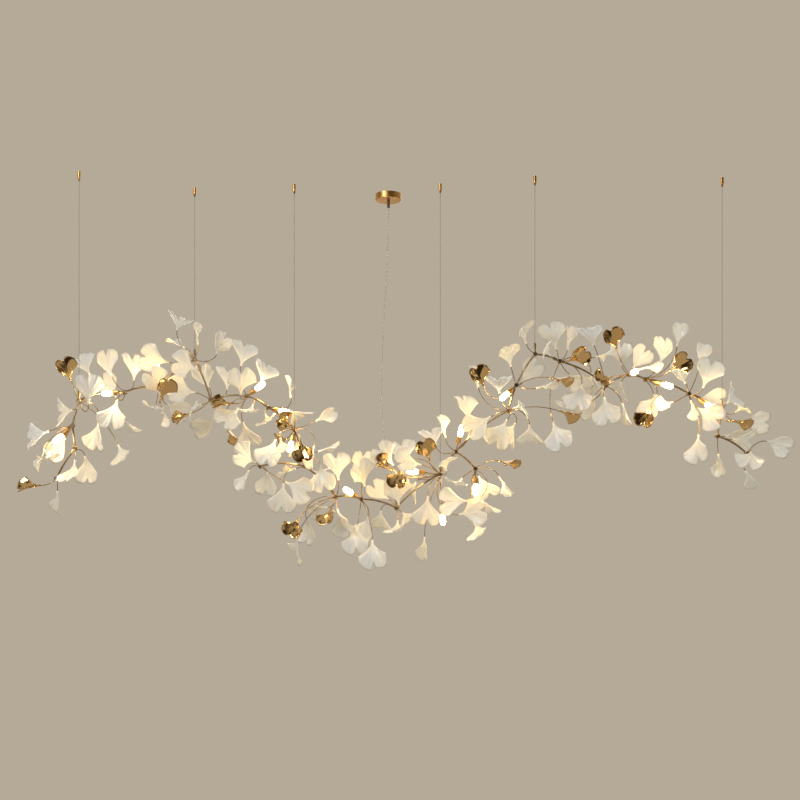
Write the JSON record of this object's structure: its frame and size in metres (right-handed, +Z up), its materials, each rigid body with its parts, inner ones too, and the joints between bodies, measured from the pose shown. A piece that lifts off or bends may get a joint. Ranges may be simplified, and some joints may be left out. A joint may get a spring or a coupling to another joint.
{
  "type": "ceiling chandelier",
  "caption": "Long wave-shaped ceiling chandelier: ceramic ginkgo leaves and lamps on a brass branch hung on thin wires from ceiling grippers, with a round canopy.",
  "frame": {"origin": "centre of the canopy's two ceiling screws, on the ceiling plane", "axes": "+Z up to the ceiling, +X along the branch to the right end of the picture, the pictured side faces -Y"},
  "size_m": [2.9817, 0.4972, 1.5164],
  "materials": {
    "fitting_brass": "brushed",
    "branch_brass": "satin",
    "dark_brass": "satin",
    "gold_plate": "mirror polished",
    "white_glaze": "gloss glaze",
    "insert_ceramic": "matt",
    "lamp_glow": "frosted",
    "wire_steel": "drawn",
    "zinc_steel": "zinc plated",
    "white_plastic": "moulded",
    "black_plastic": "moulded",
    "clear_cord": "clear sheath",
    "core_insulation": "insulated wire"
  },
  "bodies": {
    "ceiling": {"canopy_backplate": "zinc_steel", "terminal_block": "white_plastic", "gripper_barrels": "fitting_brass", "gripper_springs": "wire_steel", "power_cord": "clear_cord", "suspension_wire_1": "wire_steel", "suspension_wire_2": "wire_steel", "suspension_wire_3": "wire_steel", "suspension_wire_4": "wire_steel", "suspension_wire_5": "wire_steel", "suspension_wire_6": "wire_steel"},
    "canopy": {"canopy_cover": "fitting_brass", "canopy_thumbscrews": "fitting_brass", "cord_grip": "black_plastic", "cord_grip_nut": "zinc_steel"},
    "nozzle_1": {"release_nozzle_1": "dark_brass"},
    "nozzle_2": {"release_nozzle_2": "dark_brass"},
    "nozzle_3": {"release_nozzle_3": "dark_brass"},
    "nozzle_4": {"release_nozzle_4": "dark_brass"},
    "nozzle_5": {"release_nozzle_5": "dark_brass"},
    "nozzle_6": {"release_nozzle_6": "dark_brass"},
    "branch": {"branch_frame_1": "branch_brass", "branch_frame_2": "branch_brass", "branch_frame_3": "branch_brass", "branch_frame_4": "branch_brass", "branch_frame_5": "branch_brass", "branch_frame_6": "branch_brass", "cord_inlet": "branch_brass", "gold_leaves_1": "gold_plate", "gold_leaves_2": "gold_plate", "gold_leaves_3": "gold_plate", "gold_leaves_4": "gold_plate", "gold_leaves_5": "gold_plate", "gold_leaves_6": "gold_plate", "lamp_holders": "fitting_brass", "lamp_inserts": "insert_ceramic", "lamps": "lamp_glow", "module_sleeves": "branch_brass", "sleeve_screws": "wire_steel", "white_leaves_1": "white_glaze", "white_leaves_2": "white_glaze", "white_leaves_3": "white_glaze", "white_leaves_4": "white_glaze", "white_leaves_5": "white_glaze", "white_leaves_6": "white_glaze", "wire_anchors": "branch_brass", "wiring_cores": "core_insulation"}
  },
  "joints": [
    {"name": "drop_adjust", "type": "slide", "parent": "ceiling", "child": "branch", "axis": [0, 0, 1], "range_m": [0, 0.3], "deforming": ["suspension_wire_1", "suspension_wire_2", "suspension_wire_3", "suspension_wire_4", "suspension_wire_5", "suspension_wire_6", "power_cord"]},
    {"name": "canopy_lower", "type": "slide", "parent": "ceiling", "child": "canopy", "axis": [0, 0, -1], "range_m": [0, 0.04]},
    {"name": "wire_release_1", "type": "slide", "parent": "ceiling", "child": "nozzle_1", "axis": [0, 0, 1], "range_m": [0, 0.0025], "stiffness_N_per_m": 900, "springref_m": -0.004, "deforming": ["gripper_springs"]},
    {"name": "wire_release_2", "type": "slide", "parent": "ceiling", "child": "nozzle_2", "axis": [0, 0, 1], "range_m": [0, 0.0025], "stiffness_N_per_m": 900, "springref_m": -0.004, "deforming": ["gripper_springs"]},
    {"name": "wire_release_3", "type": "slide", "parent": "ceiling", "child": "nozzle_3", "axis": [0, 0, 1], "range_m": [0, 0.0025], "stiffness_N_per_m": 900, "springref_m": -0.004, "deforming": ["gripper_springs"]},
    {"name": "wire_release_4", "type": "slide", "parent": "ceiling", "child": "nozzle_4", "axis": [0, 0, 1], "range_m": [0, 0.0025], "stiffness_N_per_m": 900, "springref_m": -0.004, "deforming": ["gripper_springs"]},
    {"name": "wire_release_5", "type": "slide", "parent": "ceiling", "child": "nozzle_5", "axis": [0, 0, 1], "range_m": [0, 0.0025], "stiffness_N_per_m": 900, "springref_m": -0.004, "deforming": ["gripper_springs"]},
    {"name": "wire_release_6", "type": "slide", "parent": "ceiling", "child": "nozzle_6", "axis": [0, 0, 1], "range_m": [0, 0.0025], "stiffness_N_per_m": 900, "springref_m": -0.004, "deforming": ["gripper_springs"]}
  ]
}
